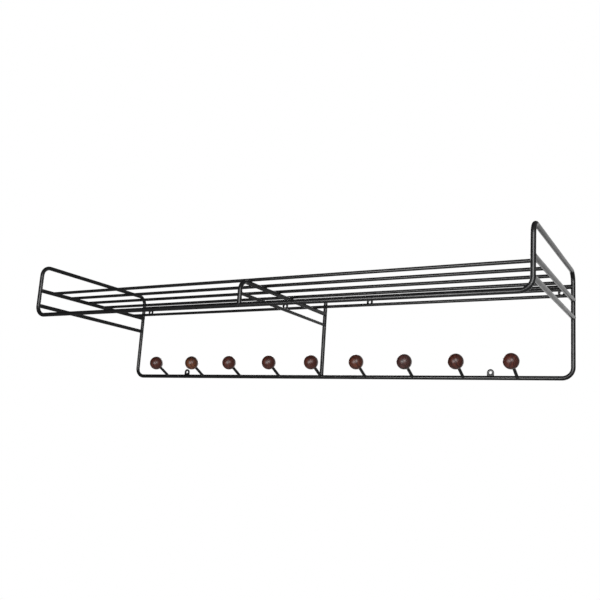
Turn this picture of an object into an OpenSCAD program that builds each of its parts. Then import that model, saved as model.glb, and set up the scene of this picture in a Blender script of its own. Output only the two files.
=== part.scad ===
// Wall-mounted hat rack of welded round rod, with wooden balls on slanting pegs.
// X runs along the wall, +Y runs into the wall, +Z is up.
// The origin lies on the wall, midway between the two outer upper screw holes.

/* [Overall size] */
// Length over the end posts
overall_length = 1000; // [700:10:1400]
// Depth from the wall to the front of the front rail
overall_depth = 320; // [220:5:400]

/* [Rod] */
// Thickness of the frame's rod
frame_rod_d = 8; // [5:0.5:9]
// Thickness of the shelf wires and of the brace
wire_d = 6; // [3:0.5:7]
// Bend radius of the frame's corners, at the rod's centre line
frame_bend_r = 19; // [12:1:24]
// Bend radius of the middle bracket, at the rod's centre line
bracket_bend_r = 18; // [10:1:26]

/* [Heights] */
// Shelf wires above the peg rail, between centre lines
shelf_height = 138.5; // [110:0.5:220]
// Top side bars above the shelf wires
guard_height = 50.5; // [46:0.5:90]
// Rear rail above the shelf wires
rear_rail_rise = 24.5; // [10:0.5:30]
// Lower side bars below the upper side bars
side_bar_drop = 31.5; // [15:0.5:36]
// Front rail below the shelf wires
front_rail_drop = 51.5; // [46:0.5:80]
// Brace below the middle bracket's bar
brace_drop = 23; // [12:0.5:32]

/* [Shelf wires] */
// First wire behind the front rail
front_wire_inset = 32; // [20:1:60]
// Last wire in front of the rear rail
rear_wire_inset = 38; // [12:1:60]

/* [Pegs] */
// Outermost pegs inwards from the end posts
end_peg_inset = 96; // [30:0.5:200]
// Thickness of a peg
peg_d = 6; // [3:0.5:7]
// Rise of a peg above level
peg_angle = 27; // [5:1:60]
// Peg rail's centre line to the middle of the ball
peg_reach = 53; // [40:1:80]
// Diameter of a wooden ball
ball_d = 29; // [22:1:45]
// How far a peg goes into its ball
peg_seat_depth = 14; // [6:0.5:18]

/* [Screw eyes] */
// Screw hole
eye_hole_d = 5.5; // [3:0.5:8]
// Width of the eye and diameter of its round end
eye_width = 13; // [12:0.5:20]
// Thickness of the eye's plate
eye_thickness = 2.5; // [1.5:0.1:3.5]
// Hole's centre to the centre line of the rail that carries the eye
eye_hole_height = 10; // [9:0.5:14]
// Outer upper eyes inwards from the end posts
outer_eye_inset = 20; // [15:0.5:60]
// Inner upper eyes outwards from the middle post
inner_eye_offset = 100; // [20:1:400]

/* [Fits] */
// Seat between a rod's hollowed end and the rod that it is welded to
weld_gap = 0.15; // [0.05:0.05:0.3]
// Room around a peg inside its ball, on each side
ball_fit_gap = 0.1; // [0.05:0.05:0.3]
// Room past the peg's end inside its ball
ball_end_gap = 0.5; // [0.2:0.1:1]

/* [Hidden] */
$fn = 48;
wire_count = 6;
peg_count = 9;
middle_peg = (peg_count + 1) / 2;

// Foot of an eye above the centre line of its rail, as a share of the rod's radius
eye_foot_share = 0.7;
// How far a cutter runs past the face that it opens
cut_overrun = 1;

rod_colour = [0.07, 0.07, 0.075];
ball_colour = [0.33, 0.11, 0.07];

// Centre lines of the back plane, the front plane and the end posts
back_y = -frame_rod_d / 2;
front_y = frame_rod_d / 2 - overall_depth;
post_x = (overall_length - frame_rod_d) / 2;

// Centre lines of everything that lies level
rear_rail_z = eye_hole_height;
shelf_z = rear_rail_z - rear_rail_rise;
guard_z = shelf_z + guard_height;
lower_bar_z = shelf_z - side_bar_drop;
front_rail_z = shelf_z - front_rail_drop;
peg_rail_z = shelf_z - shelf_height;
bracket_z = shelf_z - (wire_d + frame_rod_d) / 2 - weld_gap;
brace_z = bracket_z - brace_drop;

peg_pitch = 2 * (post_x - end_peg_inset) / (peg_count - 1);
peg_length = peg_reach - ball_d / 2 + peg_seat_depth;
seat_d = frame_rod_d + 2 * weld_gap;

// Lower eyes, midway between the two outermost pegs of each end
lower_eye_x = (middle_peg - 1.5) * peg_pitch;
outer_eye_x = post_x - outer_eye_inset;

// Each end of the rack: its name and the side of the middle it is on
ENDS = [["left", -1], ["right", 1]];

// Places of the wires, from the front one back, and of the pegs, from the left
function wire_y(i) = front_y + front_wire_inset
    + (i - 1) * (back_y - front_y - front_wire_inset - rear_wire_inset) / (wire_count - 1);
function peg_x(i) = (i - middle_peg) * peg_pitch;

// Rod along X from one side of the middle to the other
module rod_across(half_length, y, z, d)
    translate([-half_length, y, z])
    rotate([0, 90, 0])
    cylinder(h = 2 * half_length, d = d);

// Rod along Y, from one place on the way to the wall to the next
module rod_to_wall(x, y_from, y_to, z, d)
    translate([x, y_from, z])
    rotate([-90, 0, 0])
    cylinder(h = y_to - y_from, d = d);

// Upright rod
module rod_upright(x, y, z_from, z_to, d)
    translate([x, y, z_from])
    cylinder(h = z_to - z_from, d = d);

// Quarter turn of rod about Z, from +X round to +Y
module quarter_bend(r, d)
    rotate_extrude(angle = 90)
    translate([r, 0])
    circle(d = d);

// Corner where a rail turns up into the end post at +X
module rail_corner(y, z, d)
    translate([post_x - frame_bend_r, y, z + frame_bend_r])
    rotate([90, 0, 0])
    rotate([0, 0, -90])
    quarter_bend(frame_bend_r, d);

// Corner where an upright at the front turns back towards the wall
module front_corner(x, z, r, d)
    translate([x, front_y + r, z - r])
    rotate([0, -90, 0])
    rotate([0, 0, -90])
    quarter_bend(r, d);

// Corner where a bar at the wall turns down into an upright
module back_corner(x, z, r, d)
    translate([x, back_y - r, z - r])
    rotate([90, 0, 90])
    quarter_bend(r, d);

// The +X end of the loop: up from the front rail, back to the wall and down to the peg rail
module loop_end(d) {
    rail_corner(front_y, front_rail_z, d);
    rod_upright(post_x, front_y, front_rail_z + frame_bend_r, guard_z - frame_bend_r, d);
    front_corner(post_x, guard_z, frame_bend_r, d);
    rod_to_wall(post_x, front_y + frame_bend_r, back_y - frame_bend_r, guard_z, d);
    back_corner(post_x, guard_z, frame_bend_r, d);
    rod_upright(post_x, back_y, peg_rail_z + frame_bend_r, guard_z - frame_bend_r, d);
    rail_corner(back_y, peg_rail_z, d);
}

module both_loop_ends(d) {
    loop_end(d);
    mirror([1, 0, 0]) loop_end(d);
}

// One rod bent round: front rail, two ends and the peg rail
module frame_loop()
    color(rod_colour)
    union() {
        both_loop_ends(frame_rod_d);
        rod_across(post_x - frame_bend_r, front_y, front_rail_z, frame_rod_d);
        rod_across(post_x - frame_bend_r, back_y, peg_rail_z, frame_rod_d);
    }

// Rail at the wall between the back posts, hollowed to sit against them
module rear_rail()
    color(rod_colour)
    difference() {
        rod_across(post_x, back_y, rear_rail_z, frame_rod_d);
        both_loop_ends(seat_d);
    }

// Bar between a front post and a back post
module side_bar(side, z)
    color(rod_colour)
    mirror([(1 - side) / 2, 0, 0])
    difference() {
        rod_to_wall(post_x, front_y, back_y, z, frame_rod_d);
        loop_end(seat_d);
    }

// Wire of the shelf, between the upper side bars
module shelf_wire(i)
    color(rod_colour)
    difference() {
        rod_across(post_x, wire_y(i), shelf_z, wire_d);
        for (end = ENDS)
            rod_to_wall(end[1] * post_x, front_y, back_y, shelf_z, seat_d);
    }

module middle_post_rod(d)
    rod_upright(0, back_y, peg_rail_z, rear_rail_z, d);

// Upright between the peg rail and the rear rail
module middle_post()
    color(rod_colour)
    difference() {
        middle_post_rod(frame_rod_d);
        rod_across(post_x, back_y, peg_rail_z, seat_d);
        rod_across(post_x, back_y, rear_rail_z, seat_d);
    }

module bracket_leg(d) {
    rod_upright(0, front_y, front_rail_z, bracket_z - bracket_bend_r, d);
    front_corner(0, bracket_z, bracket_bend_r, d);
}

// Bracket that stands on the front rail, bends back and carries the wires in the middle
module middle_bracket()
    color(rod_colour)
    difference() {
        union() {
            bracket_leg(frame_rod_d);
            rod_to_wall(0, front_y + bracket_bend_r, back_y, bracket_z, frame_rod_d);
        }
        rod_across(post_x, front_y, front_rail_z, seat_d);
        middle_post_rod(seat_d);
    }

// Thin bar under the bracket, from its leg to the middle post
module middle_brace()
    color(rod_colour)
    difference() {
        rod_to_wall(0, front_y, back_y, brace_z, wire_d);
        bracket_leg(seat_d);
        middle_post_rod(seat_d);
    }

// Turn +Z into the direction of a peg, from the peg rail's centre line
module at_peg(i)
    translate([peg_x(i), back_y, peg_rail_z])
    rotate([90 - peg_angle, 0, 0])
    children();

// Straight peg, hollowed to sit against the peg rail, and the middle one against the post too
module peg(i)
    color(rod_colour)
    difference() {
        at_peg(i) cylinder(h = peg_length, d = peg_d);
        rod_across(post_x, back_y, peg_rail_z, seat_d);
        middle_post_rod(seat_d);
    }

// Wooden ball with a blind hole for its peg
module peg_ball(i)
    color(ball_colour)
    at_peg(i)
    translate([0, 0, peg_reach])
    difference() {
        sphere(d = ball_d);
        translate([0, 0, -ball_d / 2 - cut_overrun])
            cylinder(h = cut_overrun + peg_seat_depth + ball_end_gap, d = peg_d + 2 * ball_fit_gap);
    }

// Outline of an eye above its rail's centre line: straight foot, round end and screw hole
module eye_outline() {
    foot_height = eye_foot_share * frame_rod_d / 2;
    difference() {
        union() {
            translate([0, eye_hole_height]) circle(d = eye_width);
            translate([-eye_width / 2, foot_height]) square([eye_width, eye_hole_height - foot_height]);
        }
        translate([0, eye_hole_height]) circle(d = eye_hole_d);
    }
}

// Flat eye against the wall, standing on its rail or hanging below it
module screw_eye(x, rail_z, hangs)
    color(rod_colour)
    translate([x, 0, rail_z])
    mirror([0, 0, hangs ? 1 : 0])
    difference() {
        rotate([90, 0, 0]) linear_extrude(height = eye_thickness) eye_outline();
        rod_across(eye_width, back_y, 0, seat_d);
    }

frame_loop();
rear_rail();
middle_post();
middle_bracket();
middle_brace();
for (end = ENDS) {
    side_bar(end[1], shelf_z);
    side_bar(end[1], lower_bar_z);
    screw_eye(end[1] * outer_eye_x, rear_rail_z, true);
    screw_eye(end[1] * inner_eye_offset, rear_rail_z, true);
    screw_eye(end[1] * lower_eye_x, peg_rail_z, false);
}
for (i = [1 : wire_count])
    shelf_wire(i);
for (i = [1 : peg_count]) {
    peg(i);
    peg_ball(i);
}
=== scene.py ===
"""Looks of the wall-mounted hat rack: coated rods, welds, pressed screw eyes, turned balls and a studio."""

import math
import random

import bmesh
import bpy
from mathutils import Euler, Matrix, Quaternion, Vector


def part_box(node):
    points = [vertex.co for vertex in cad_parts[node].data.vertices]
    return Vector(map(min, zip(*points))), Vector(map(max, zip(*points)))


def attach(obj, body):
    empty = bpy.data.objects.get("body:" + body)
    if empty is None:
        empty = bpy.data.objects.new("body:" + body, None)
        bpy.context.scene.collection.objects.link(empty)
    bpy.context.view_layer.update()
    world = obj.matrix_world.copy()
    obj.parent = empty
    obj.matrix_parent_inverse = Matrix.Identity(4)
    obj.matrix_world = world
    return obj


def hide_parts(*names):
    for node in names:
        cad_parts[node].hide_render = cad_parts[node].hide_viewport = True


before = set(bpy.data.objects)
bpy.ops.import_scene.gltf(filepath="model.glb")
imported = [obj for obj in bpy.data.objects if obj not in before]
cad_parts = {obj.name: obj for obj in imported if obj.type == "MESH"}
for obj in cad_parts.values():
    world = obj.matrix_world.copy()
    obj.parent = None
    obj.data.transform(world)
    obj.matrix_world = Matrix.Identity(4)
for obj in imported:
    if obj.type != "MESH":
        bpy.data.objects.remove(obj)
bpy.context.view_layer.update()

MM = 0.001
ALONG_WALL, TO_WALL, UP = Vector((1, 0, 0)), Vector((0, 1, 0)), Vector((0, 0, 1))
SIDES = {"left": -1, "right": 1}
WIRES = range(1, 7)
PEGS = range(1, 10)


def middle(node):
    """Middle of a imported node's box."""
    low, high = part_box(node)
    return (low + high) / 2


def rod_radius(node):
    """Radius of a level rod, from its packed box."""
    low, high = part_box(node)
    return (high.z - low.z) / 2


# Centre lines of the rods that the welds join, in the row frame
FRAME_R, WIRE_R = rod_radius("rear_rail"), rod_radius("shelf_wire_1")
POST_X = middle("upper_side_bar_right").x
BACK_Y = middle("rear_rail").y
FRONT_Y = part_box("frame_loop")[0].y + FRAME_R
PEG_RAIL_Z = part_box("frame_loop")[0].z + FRAME_R
FRONT_RAIL_Z = -66 * MM

# The pegs slant up and forward from the peg rail
PEG_R = 3 * MM
PEG_ANGLE = math.radians(27)
PEG_DIRECTION = Vector((0, -math.cos(PEG_ANGLE), math.sin(PEG_ANGLE)))
PEG_REACH = 53 * MM


def finished(piece, finish):
    """Gives a new piece its finish and hangs it on the rack's one body."""
    piece.data.materials.append(finish)
    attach(piece, "root")
    return piece


def mesh_piece(name, shape, crease_angle=40):
    """Turns a finished bmesh into a smooth-shaded piece with crisp creases."""
    bmesh.ops.remove_doubles(shape, verts=shape.verts[:], dist=0.001 * MM)
    bmesh.ops.recalc_face_normals(shape, faces=shape.faces[:])
    mesh = bpy.data.meshes.new(name)
    shape.to_mesh(mesh)
    shape.free()
    mesh.shade_smooth()
    mesh.set_sharp_from_angle(angle=math.radians(crease_angle))
    piece = bpy.data.objects.new(name, mesh)
    bpy.context.scene.collection.objects.link(piece)
    return piece


# Finishes

class Finish:
    """A procedural material under construction, with short calls for the nodes it needs."""

    def __init__(self, name):
        self.material = bpy.data.materials.new(name)
        self.material.use_nodes = True
        self.tree = self.material.node_tree
        self.shader = self.tree.nodes["Principled BSDF"]
        self.place = self.tree.nodes.new("ShaderNodeTexCoord").outputs["Object"]

    def node(self, kind, inputs, **settings):
        made = self.tree.nodes.new(kind)
        for key, value in settings.items():
            setattr(made, key, value)
        for key, value in inputs.items():
            if isinstance(value, bpy.types.NodeSocket):
                self.tree.links.new(value, made.inputs[key])
            else:
                made.inputs[key].default_value = value
        return made

    def noise(self, scale, detail=2, roughness=0.5, place=None):
        return self.node("ShaderNodeTexNoise", {
            "Vector": place or self.place, "Scale": scale, "Detail": detail, "Roughness": roughness,
        }).outputs["Fac"]

    def ramp(self, value, stops):
        made = self.node("ShaderNodeValToRGB", {"Fac": value})
        elements = made.color_ramp.elements
        elements[0].position, elements[0].color = stops[0][0], (*stops[0][1], 1)
        elements[1].position, elements[1].color = stops[-1][0], (*stops[-1][1], 1)
        for position, colour in stops[1:-1]:
            elements.new(position).color = (*colour, 1)
        return made.outputs["Color"]

    def between(self, value, low, high, from_low=0.3, from_high=0.7):
        return self.node("ShaderNodeMapRange", {
            "Value": value, "From Min": from_low, "From Max": from_high, "To Min": low, "To Max": high,
        }).outputs["Result"]

    def mixed(self, factor, first, second):
        made = self.node("ShaderNodeMix", {}, data_type="RGBA")
        for socket, value in (("Factor_Float", factor), ("A_Color", first), ("B_Color", second)):
            target = next(s for s in made.inputs if s.identifier == socket)
            if isinstance(value, bpy.types.NodeSocket):
                self.tree.links.new(value, target)
            else:
                target.default_value = value if isinstance(value, float) else (*value, 1)
        return next(s for s in made.outputs if s.identifier == "Result_Color")

    def bump(self, height, distance, strength, under=None):
        inputs = {"Height": height, "Distance": distance, "Strength": strength}
        if under is not None:
            inputs["Normal"] = under
        return self.node("ShaderNodeBump", inputs).outputs["Normal"]

    def set(self, **sockets):
        """Sets the shader's own sockets, named with underscores."""
        for key, value in sockets.items():
            socket = self.shader.inputs[key.replace("_", " ")]
            if isinstance(value, bpy.types.NodeSocket):
                self.tree.links.new(value, socket)
            else:
                socket.default_value = value


def satin_black_coat():
    """Baked black coat on steel rod: faint orange peel, slow changes of sheen, a trace of dust on top."""
    coat = Finish("satin_black_coat")
    cloudy = coat.noise(38, detail=3)
    speckle = coat.noise(750, detail=1)
    black = coat.ramp(cloudy, [(0.3, (0.0045, 0.0045, 0.0048)), (0.7, (0.0075, 0.0075, 0.008))])
    facing = coat.node("ShaderNodeNewGeometry", {}).outputs["Normal"]
    upward = coat.node("ShaderNodeSeparateXYZ", {"Vector": facing}).outputs["Z"]
    dust = coat.node("ShaderNodeMath", {
        0: coat.between(upward, 0.0, 1.0, 0.6, 1.0), 1: coat.between(speckle, 0.2, 0.6, 0.4, 0.7),
    }, operation="MULTIPLY").outputs[0]
    peel = coat.bump(coat.noise(420, detail=1), 0.02 * MM, 0.1)
    coat.set(
        Base_Color=coat.mixed(dust, black, (0.015, 0.0147, 0.014)),
        Roughness=coat.between(coat.noise(55, detail=3, roughness=0.55), 0.27, 0.33),
        Normal=coat.bump(speckle, 0.008 * MM, 0.08, under=peel),
        IOR=1.5,
    )
    return coat.material


def lacquered_ball_wood(number, centre, turn, dark, light, painted_top_shade):
    """Stained hardwood under lacquer: each ball has its own lie of the grain, and painted shade darkens its
    top.
    """
    wood = Finish(f"lacquered_wood_{number}")
    grain = wood.node("ShaderNodeMapping", {
        "Vector": wood.node("ShaderNodeMapping", {
            "Vector": wood.place, "Location": -centre,
        }).outputs["Vector"],
        "Rotation": turn,
    }).outputs["Vector"]
    stretched = wood.node("ShaderNodeMapping", {"Vector": grain, "Scale": (1, 1, 0.07)}).outputs["Vector"]
    rings = wood.node("ShaderNodeTexWave", {
        "Vector": grain, "Scale": 150, "Distortion": 5.5, "Detail": 3, "Detail Scale": 0.8,
    }, wave_type="RINGS", rings_direction="Z").outputs["Fac"]
    pores = wood.noise(1500, detail=3, roughness=0.6, place=stretched)
    figure = wood.mixed(wood.between(pores, 0.0, 0.35, 0.42, 0.62), wood.ramp(rings, [
        (0.0, light), (0.65, tuple((a + b) / 2 for a, b in zip(dark, light))), (1.0, dark),
    ]), dark)
    height = wood.node("ShaderNodeSeparateXYZ", {"Vector": wood.place}).outputs["Z"]
    # Random stain blotches plus painted shade: the colour darkens from 8 mm below the ball's centre to 10
    # mm above it
    stain_and_painted_shade = wood.node("ShaderNodeMath", {
        0: wood.between(wood.noise(90, detail=2, place=grain), 0.0, 0.35),
        1: wood.between(height, 0.0, painted_top_shade, centre.z - 8 * MM, centre.z + 10 * MM),
    }, operation="ADD").outputs[0]
    wood.set(
        Base_Color=wood.mixed(stain_and_painted_shade, figure, tuple(c * 0.55 for c in dark)),
        Roughness=wood.between(pores, 0.38, 0.5),
        Normal=wood.bump(wood.noise(210, detail=2, place=grain), 0.05 * MM, 0.3,
                         under=wood.bump(pores, 0.01 * MM, 0.35)),
        Specular_IOR_Level=0.1,
        Coat_Weight=1.0,
        Coat_Roughness=0.38,
        IOR=1.5,
    )
    return wood.material


# Welds

BEAD_R = 0.5 * MM
EYE_BEAD_R = 0.9 * MM
CROSSING_BEAD_R = 0.55 * MM
CROSSING_REACH = 1.7 * MM


def weld_line(foot, along, rod_r, rail, rail_r, points=40):
    """Line round a rod's end where it meets the rail that it stands on."""
    along, rail = along.normalized(), rail.normalized()
    across = along.cross(rail).normalized()
    other = along.cross(across)
    line = []
    for step in range(points):
        angle = math.tau * step / points
        out = (across * math.cos(angle) + other * math.sin(angle)) * rod_r
        # Seen down the rail, the rod's side starts here, climbs on this slope and meets the rail's round
        start, slope = out - rail * out.dot(rail), along - rail * along.dot(rail)
        inside = start.dot(slope) ** 2 - slope.dot(slope) * (start.dot(start) - rail_r ** 2)
        lift = (math.sqrt(max(0.0, inside)) - start.dot(slope)) / slope.dot(slope)
        line.append(foot + out + along * lift)
    return line


def crossing_line(touch, reach, points=24):
    """Line round the spot where a wire lies across the bracket."""
    line = []
    for step in range(points):
        angle = math.tau * step / points
        line.append(touch + (ALONG_WALL * math.cos(angle) + TO_WALL * math.sin(angle)) * reach)
    return line


def weld_beads(name, lines, bead_r, seed, closed=True):
    """Small uneven beads along the weld lines, kept off the wall."""
    chance = random.Random(seed)
    beads = bpy.data.curves.new(name, "CURVE")
    beads.dimensions = "3D"
    beads.bevel_depth = bead_r
    beads.bevel_resolution = 2
    beads.use_fill_caps = not closed
    for line in lines:
        spline = beads.splines.new("POLY")
        spline.points.add(len(line) - 1)
        spline.use_cyclic_u = closed
        spline.use_smooth = True
        swell = [chance.uniform(0, math.tau) for _ in range(3)]
        for step, (point, place) in enumerate(zip(spline.points, line)):
            turn = math.tau * step / len(line)
            width = 1 + sum(0.07 * math.sin((2 * k + 2) * turn + swell[k]) for k in range(3))
            if not closed:
                width *= math.sin(math.pi * (0.1 + 0.8 * step / (len(line) - 1)))
            point.radius = width
            point.co = (place.x, min(place.y, -bead_r * width), place.z, 1)
    piece = bpy.data.objects.new(name, beads)
    bpy.context.scene.collection.objects.link(piece)
    return finished(piece, black_coat)


def end_welds(side):
    """Every weld at one end of the rack: side bars, shelf wires and rear rail."""
    x = SIDES[side] * POST_X
    inward = -SIDES[side] * ALONG_WALL
    frame_lines = [weld_line(Vector((x, BACK_Y, middle("rear_rail").z)), inward, FRAME_R, UP, FRAME_R)]
    for bar in ("upper_side_bar_", "lower_side_bar_"):
        z = middle(bar + side).z
        frame_lines.append(weld_line(Vector((x, FRONT_Y, z)), TO_WALL, FRAME_R, UP, FRAME_R))
        frame_lines.append(weld_line(Vector((x, BACK_Y, z)), -TO_WALL, FRAME_R, UP, FRAME_R))
    wire_lines = []
    for wire in WIRES:
        at = middle(f"shelf_wire_{wire}")
        wire_lines.append(weld_line(Vector((x, at.y, at.z)), inward, WIRE_R, TO_WALL, FRAME_R))
    weld_beads(f"frame_welds_{side}", frame_lines, BEAD_R, seed=11 + SIDES[side])
    weld_beads(f"wire_welds_{side}", wire_lines, BEAD_R, seed=21 + SIDES[side])


def middle_welds():
    """The welds of the middle post, the bracket with the wires on it, and the brace."""
    bracket_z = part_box("middle_bracket")[1].z - FRAME_R
    brace_z = middle("middle_brace").z
    rail_z = middle("rear_rail").z
    weld_beads("bracket_welds", [
        weld_line(Vector((0, FRONT_Y, FRONT_RAIL_Z)), UP, FRAME_R, ALONG_WALL, FRAME_R),
        weld_line(Vector((0, BACK_Y, bracket_z)), -TO_WALL, FRAME_R, UP, FRAME_R),
        weld_line(Vector((0, BACK_Y, PEG_RAIL_Z)), UP, FRAME_R, ALONG_WALL, FRAME_R),
        weld_line(Vector((0, BACK_Y, rail_z)), -UP, FRAME_R, ALONG_WALL, FRAME_R),
    ], BEAD_R, seed=31)
    weld_beads("brace_welds", [
        weld_line(Vector((0, FRONT_Y, brace_z)), TO_WALL, WIRE_R, UP, FRAME_R),
        weld_line(Vector((0, BACK_Y, brace_z)), -TO_WALL, WIRE_R, UP, FRAME_R),
    ], BEAD_R, seed=32)
    touches = [Vector((0, middle(f"shelf_wire_{wire}").y, bracket_z + FRAME_R)) for wire in WIRES]
    crossings = [crossing_line(touch, CROSSING_REACH) for touch in touches]
    weld_beads("crossing_welds", crossings, CROSSING_BEAD_R, seed=33)


def peg_welds():
    """The welds at the pegs' feet."""
    feet = [Vector((middle(f"peg_{peg}").x, BACK_Y, PEG_RAIL_Z)) for peg in PEGS]
    lines = [weld_line(foot, PEG_DIRECTION, PEG_R, ALONG_WALL, FRAME_R) for foot in feet]
    weld_beads("peg_welds", lines, BEAD_R, seed=41)


# Screw eyes

def pressed_eye(node, hangs):
    """Flat eye with a round end and a softened edge, pressed from plate, its foot on the rail."""
    low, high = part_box(node)
    half_width, thickness = (high.x - low.x) / 2, high.y - low.y
    hole_r, edge_round = 2.75 * MM, 0.35 * MM
    down = (high.z - low.z) - half_width
    steps = 64
    plate = bmesh.new()
    rim = bmesh.ops.create_circle(plate, segments=steps, radius=hole_r)["verts"]
    grown = bmesh.ops.extrude_edge_only(plate, edges=plate.edges[:])["geom"]
    outline = [v for v in grown if isinstance(v, bmesh.types.BMVert)]
    corner = math.atan2(down, half_width)
    for vert in outline:
        angle = math.atan2(vert.co.y, vert.co.x)
        if angle < 0:
            nearest = min((-corner, corner - math.pi), key=lambda a: abs(a - angle))
            if abs(nearest - angle) < math.pi / steps:
                angle = nearest
            reach = min(half_width / max(abs(math.cos(angle)), 1e-6), down / abs(math.sin(angle)))
        else:
            reach = half_width
        vert.co = Vector((math.cos(angle), math.sin(angle), 0)) * reach
    raised = bmesh.ops.extrude_face_region(plate, geom=plate.faces[:])["geom"]
    face = [v for v in raised if isinstance(v, bmesh.types.BMVert)]
    bmesh.ops.translate(plate, verts=face, vec=(0, 0, thickness))
    bmesh.ops.recalc_face_normals(plate, faces=plate.faces[:])
    edges = [e for e in plate.edges if e.calc_face_angle(0) > math.radians(60)]
    bmesh.ops.bevel(plate, geom=edges, offset=edge_round, segments=3, affect="EDGES", profile=0.5,
                    material=-1)
    # Stand the plate on its foot against the wall, or hang it below its rail
    place = Matrix.Translation(((low.x + high.x) / 2, high.y, low.z + down if not hangs else high.z - down))
    turn = Matrix.Rotation(math.radians(90), 4, "X")
    if hangs:
        turn = Matrix.Rotation(math.pi, 4, "Y") @ turn
    bmesh.ops.transform(plate, matrix=place @ turn, verts=plate.verts[:])
    eye = finished(mesh_piece("pressed_" + node, plate, crease_angle=50), black_coat)
    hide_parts(node)
    return eye


def eye_welds():
    """Short beads where the eyes' front faces meet their rails."""
    lines = []
    rear_rail_z = middle("rear_rail").z
    rails = (("outer", rear_rail_z, -1), ("inner", rear_rail_z, -1), ("lower", PEG_RAIL_Z, 1))
    for side in SIDES:
        for kind, rail_z, sign in rails:
            low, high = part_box(f"{kind}_screw_eye_{side}")
            z = rail_z + sign * math.sqrt(FRAME_R ** 2 - (low.y - BACK_Y) ** 2)
            lines.append([
                Vector((low.x + (high.x - low.x) * step / 11, low.y, z)) for step in range(12)
            ])
    weld_beads("eye_welds", lines, EYE_BEAD_R, seed=51, closed=False)


# Balls

def turned_ball(number):
    """Ball spun from its outline, with a flat-bottomed bore that is chamfered where the peg goes in."""
    ball_r, bore_r, bore_depth, chamfer = 14.5 * MM, PEG_R + 0.1 * MM, 14.5 * MM, 0.4 * MM
    mouth = math.asin((bore_r + chamfer) / ball_r)
    ball = bmesh.new()
    tip = ball.verts.new((0, 0, ball_r))
    arc = bmesh.ops.spin(ball, geom=[tip], cent=(0, 0, 0), axis=(0, 1, 0), angle=math.pi - mouth, steps=44)
    end = next(g for g in arc["geom_last"] if isinstance(g, bmesh.types.BMVert))
    bottom = bore_depth - ball_r
    start = -ball_r * math.cos(mouth)
    for x, z in ((bore_r, start + chamfer), (bore_r, bottom), (0, bottom)):
        end = bmesh.ops.extrude_vert_indiv(ball, verts=[end])["verts"][0]
        end.co = (x, 0, z)
    bmesh.ops.spin(ball, geom=ball.verts[:] + ball.edges[:], cent=(0, 0, 0), axis=(0, 0, 1),
                   angle=math.tau, steps=80, use_merge=True)
    peg_x = middle(f"peg_{number}").x
    centre = Vector((peg_x, BACK_Y, PEG_RAIL_Z)) + PEG_DIRECTION * PEG_REACH
    turn = Matrix.Rotation(math.pi / 2 - PEG_ANGLE, 4, "X")
    bmesh.ops.transform(ball, matrix=Matrix.Translation(centre) @ turn, verts=ball.verts[:])
    chance = random.Random(700 + number)
    lie = Euler([chance.uniform(-0.5, 0.5), chance.uniform(0.9, 2.2), chance.uniform(0, math.tau)])
    piece = mesh_piece(f"turned_ball_{number}", ball, crease_angle=30)
    finished(piece, lacquered_ball_wood(number, centre, lie, *BALL_STAINS_AND_TOP_SHADE[number - 1]))
    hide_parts(f"peg_ball_{number}")
    return piece


# Stain of each ball from the left: the dark and the light of its grain, and how much painted shade darkens
# its top
RED_BROWN = ((0.035, 0.0080, 0.0047), (0.112, 0.026, 0.0145), 0.25)
BALL_STAINS_AND_TOP_SHADE = [
    RED_BROWN,
    ((0.048, 0.0130, 0.0050), (0.230, 0.070, 0.024), 0.7),
    RED_BROWN,
    RED_BROWN,
    RED_BROWN,
    ((0.042, 0.0097, 0.0050), (0.148, 0.037, 0.0175), 0.4),
    ((0.034, 0.0125, 0.0108), (0.095, 0.034, 0.029), 0.15),
    RED_BROWN,
    ((0.039, 0.0085, 0.0057), (0.124, 0.0275, 0.0175), 0.1),
]


# Studio and camera

RACK_MIDDLE = Vector((0, -0.16, -0.06))


def studio_air():
    """White to the camera; lights the rack by a backdrop behind it and a room that dims left and above."""
    world = bpy.data.worlds.new("studio_air")
    bpy.context.scene.world = world
    world.use_nodes = True
    tree = world.node_tree
    tree.nodes.clear()
    link, new = tree.links.new, tree.nodes.new

    def graded(coordinate, start, end, low, high):
        grade = new("ShaderNodeMapRange")
        for name, value in (("From Min", start), ("From Max", end), ("To Min", low), ("To Max", high)):
            grade.inputs[name].default_value = value
        link(coordinate, grade.inputs["Value"])
        return grade.outputs["Result"]

    around = new("ShaderNodeTexCoord").outputs["Generated"]
    direction = new("ShaderNodeSeparateXYZ")
    link(around, direction.inputs[0])
    lit_side = new("ShaderNodeVectorMath")
    lit_side.operation = "DOT_PRODUCT"
    link(around, lit_side.inputs[0])
    lit_side.inputs[1].default_value = (0.8, 0, -0.6)
    room = graded(lit_side.outputs["Value"], -0.8, 0.0, 0.03, 0.2)
    backdrop = graded(direction.outputs["Y"], 0.82, 0.94, 0.0, 1.15)
    level = new("ShaderNodeMath")
    level.operation = "MAXIMUM"
    link(room, level.inputs[0])
    link(backdrop, level.inputs[1])
    light, white, mix = new("ShaderNodeBackground"), new("ShaderNodeBackground"), new("ShaderNodeMixShader")
    light.inputs["Color"].default_value = (1, 1, 1, 1)
    white.inputs["Color"].default_value = (1, 1, 1, 1)
    link(level.outputs[0], light.inputs["Strength"])
    link(new("ShaderNodeLightPath").outputs["Is Camera Ray"], mix.inputs["Fac"])
    link(light.outputs[0], mix.inputs[1])
    link(white.outputs[0], mix.inputs[2])
    link(mix.outputs[0], new("ShaderNodeOutputWorld").inputs["Surface"])


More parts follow.
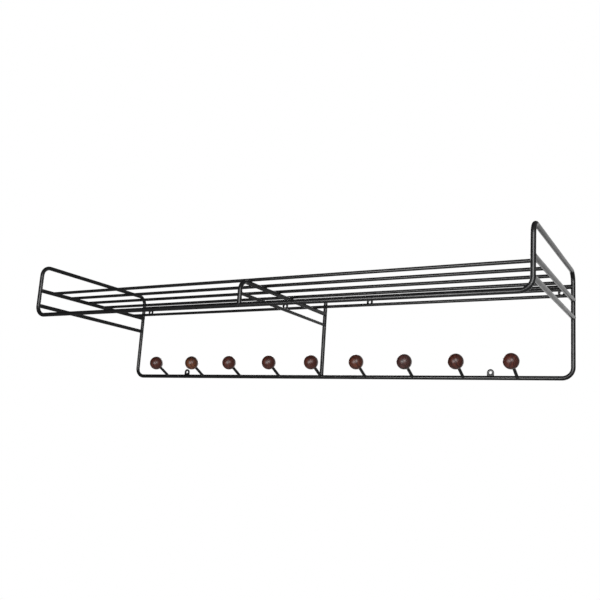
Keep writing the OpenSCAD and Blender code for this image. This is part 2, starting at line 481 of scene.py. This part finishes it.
def pale_floor():
    shape = bmesh.new()
    bmesh.ops.create_grid(shape, x_segments=4, y_segments=4, size=2.2)
    bmesh.ops.translate(shape, verts=shape.verts[:], vec=(0, 0, -1.6))
    floor = mesh_piece("pale_floor", shape)
    paint = Finish("pale_floor")
    tone = paint.ramp(paint.noise(3, detail=4), [(0.3, (0.66, 0.66, 0.66)), (0.7, (0.70, 0.70, 0.70))])
    reach = paint.node("ShaderNodeVectorMath", {"Vector": paint.place}, operation="LENGTH").outputs["Value"]
    seen = paint.node("ShaderNodeLightPath", {}).outputs["Is Camera Ray"]
    glow = paint.node("ShaderNodeMath", {
        0: seen, 1: paint.between(reach, 0.55, 1.0, from_low=1.6, from_high=2.6),
    }, operation="MULTIPLY").outputs[0]
    paint.set(Base_Color=tone, Roughness=0.7, Emission_Color=(1, 1, 1, 1), Emission_Strength=glow)
    floor.data.materials.append(paint.material)


def soft_light(name, place, size, power):
    """Square soft light that faces the rack."""
    lamp = bpy.data.lights.new(name, "AREA")
    lamp.shape, lamp.size, lamp.energy = "SQUARE", size, power
    light = bpy.data.objects.new(name, lamp)
    light.location = place
    light.rotation_euler = (RACK_MIDDLE - Vector(place)).to_track_quat("-Z", "Y").to_euler()
    light.visible_camera = False
    bpy.context.scene.collection.objects.link(light)


def photo_camera():
    """Camera below the rack's right half, looking up and to the left, a little rolled."""
    lens = bpy.data.cameras.new("photo_camera")
    lens.lens, lens.sensor_width = 44.73, 36
    lens.shift_x, lens.shift_y = -0.0239, 0.0264
    camera = bpy.data.objects.new("photo_camera", lens)
    camera.location = (0.72757, -1.34761, -0.30904)
    look = Vector((-0.480717, 0.857809, 0.181868))
    camera.rotation_mode = "QUATERNION"
    camera.rotation_quaternion = look.to_track_quat("-Z", "Y") @ Quaternion((0, 0, 1), math.radians(3.56))
    bpy.context.scene.collection.objects.link(camera)
    bpy.context.scene.camera = camera


# Assembly

black_coat = satin_black_coat()
for node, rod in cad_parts.items():
    if not node.startswith("peg_ball"):
        rod.material_slots[0].material = black_coat

for side in SIDES:
    end_welds(side)
    pressed_eye(f"outer_screw_eye_{side}", hangs=True)
    pressed_eye(f"inner_screw_eye_{side}", hangs=True)
    pressed_eye(f"lower_screw_eye_{side}", hangs=False)
middle_welds()
peg_welds()
eye_welds()
for number in PEGS:
    turned_ball(number)

studio_air()
pale_floor()
soft_light("left_softbox", (-0.15, -1.6, -0.3), 0.65, 14)
soft_light("right_softbox", (0.85, -1.4, 0.15), 0.8, 16)
soft_light("back_softbox", (-0.9, 1.5, 0.5), 0.8, 8)
bpy.context.scene.view_settings.view_transform = "Standard"
photo_camera()
